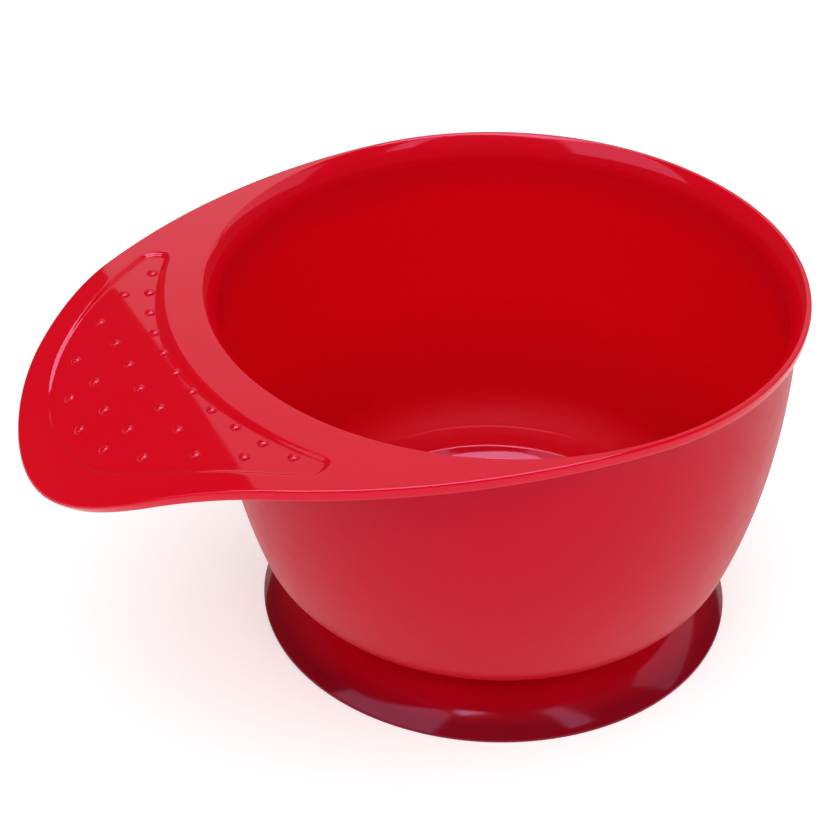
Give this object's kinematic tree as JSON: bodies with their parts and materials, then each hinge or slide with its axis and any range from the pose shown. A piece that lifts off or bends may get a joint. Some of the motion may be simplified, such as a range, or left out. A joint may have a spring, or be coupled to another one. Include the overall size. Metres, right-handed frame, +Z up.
{
  "type": "hair color bowl",
  "caption": "Round hair color mixing bowl with a drooping dotted grip on its rim, pressed onto a wider soft suction foot.",
  "frame": {"origin": "centre of the object's bounding box at the table plane; the bowl's axis is 20.7 mm from it along +X", "axes": "+Z up along the bowl's axis, grip points to -X, the object is the same on both sides of the XZ plane"},
  "size_m": [0.1678, 0.1266, 0.0814],
  "materials": {
    "bowl_plastic": "red moulded plastic, high gloss inside, on the rim and on the grip, satin on the outer wall",
    "foot_pvc": "soft glossy deep red PVC"
  },
  "bodies": {
    "foot": {"suction_foot": "foot_pvc"},
    "bowl": {"bowl_body": "bowl_plastic"}
  },
  "joints": [
    {"name": "bowl_lift", "type": "slide", "parent": "foot", "child": "bowl", "axis": [0, 0, 1], "range_m": [0, 0.03]}
  ]
}
